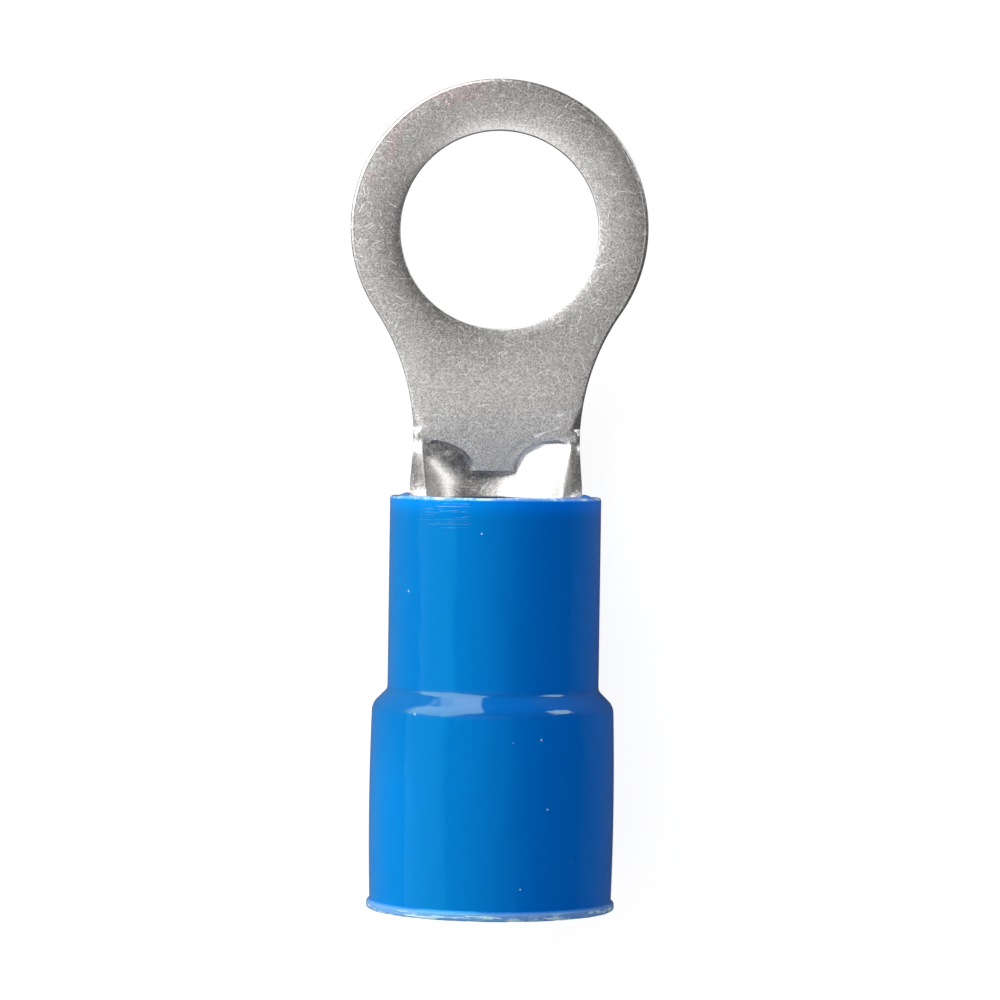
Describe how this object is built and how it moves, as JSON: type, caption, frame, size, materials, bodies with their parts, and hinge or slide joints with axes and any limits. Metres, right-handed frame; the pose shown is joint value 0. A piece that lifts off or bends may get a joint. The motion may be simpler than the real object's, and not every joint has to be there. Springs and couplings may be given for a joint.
{
  "type": "insulated ring terminal",
  "caption": "Ring terminal with a flat stud ring, a rolled wire barrel and a stepped blue insulating sleeve over the barrel.",
  "frame": {"origin": "centre of the stud hole, halfway through the sheet", "axes": "+Z along the stud hole's axis, out of the ring's upper face, which is the side of the open cheeks and the barrel's seam; +Y from the barrel towards the ring's tip; +X across the ring"},
  "size_m": [0.0126, 0.0348, 0.0103],
  "materials": {
    "tinned_metal": "satin tin plating with fine scratches",
    "blue_plastic": "glossy, slightly translucent"
  },
  "bodies": {
    "root": {"metal_terminal": "tinned_metal", "insulating_sleeve": "blue_plastic"}
  },
  "joints": []
}
